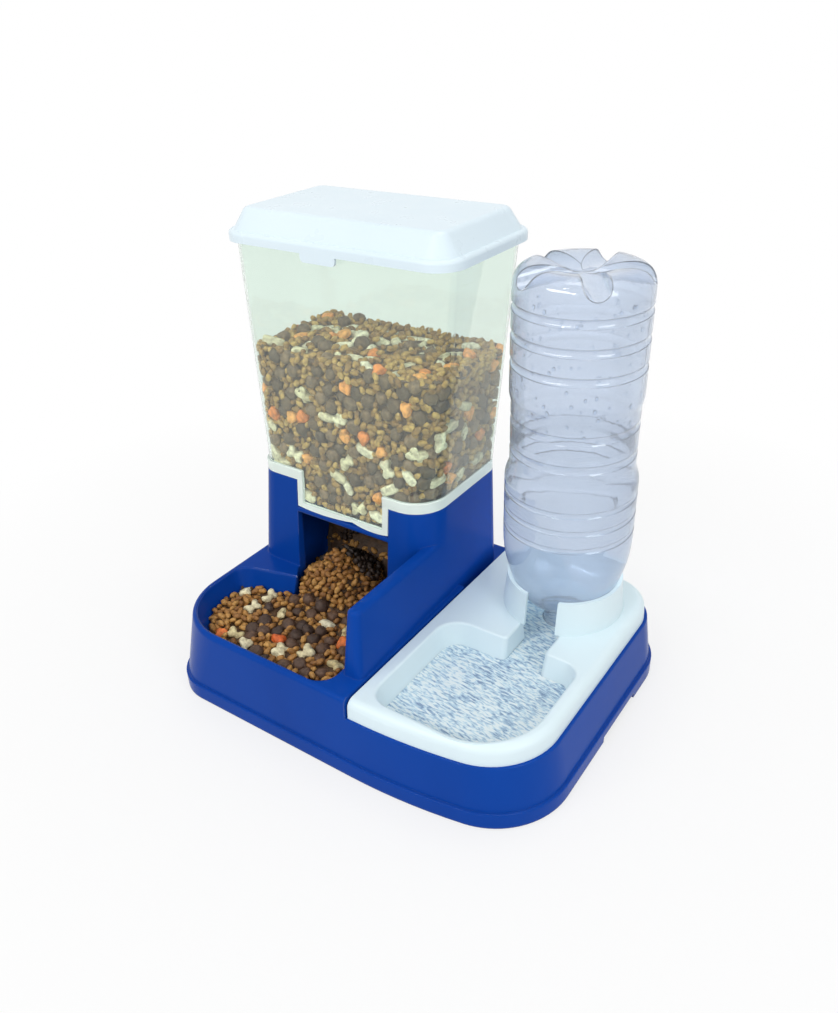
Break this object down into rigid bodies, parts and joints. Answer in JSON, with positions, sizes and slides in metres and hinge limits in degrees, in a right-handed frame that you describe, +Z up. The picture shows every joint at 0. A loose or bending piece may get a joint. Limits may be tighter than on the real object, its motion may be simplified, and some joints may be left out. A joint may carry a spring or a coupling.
{
  "type": "pet food and water dispenser",
  "caption": "Gravity pet feeder: moulded base with food bowl and translucent hopper, water tray fed by an upturned bottle.",
  "frame": {"origin": "middle of the base's footprint, on the surface that the rubber feet stand on", "axes": "+X towards the water side, +Y towards the back, +Z up"},
  "size_m": [0.302, 0.236, 0.33],
  "materials": {
    "base": "glossy",
    "tray": "satin",
    "bottle": "clear",
    "water": "clear",
    "hopper": "translucent",
    "lid": "satin",
    "kibble": "rough",
    "foot": "matte"
  },
  "bodies": {
    "dispenser": {"base": "base", "water_tray": "tray", "bottle": "bottle", "bottle_water": "water", "tray_water": "water", "hopper": "hopper", "hopper_kibble": "kibble", "bowl_kibble": "kibble", "foot_front_left": "foot", "foot_back_left": "foot", "foot_back_right": "foot", "foot_front_right": "foot"},
    "lid": {"lid": "lid"}
  },
  "joints": [
    {"name": "lid_hinge", "type": "hinge", "parent": "dispenser", "child": "lid", "pos_m": [-0.05375, 0.101, 0.311], "axis": [-1, 0, 0], "range_deg": [0, 110]}
  ]
}
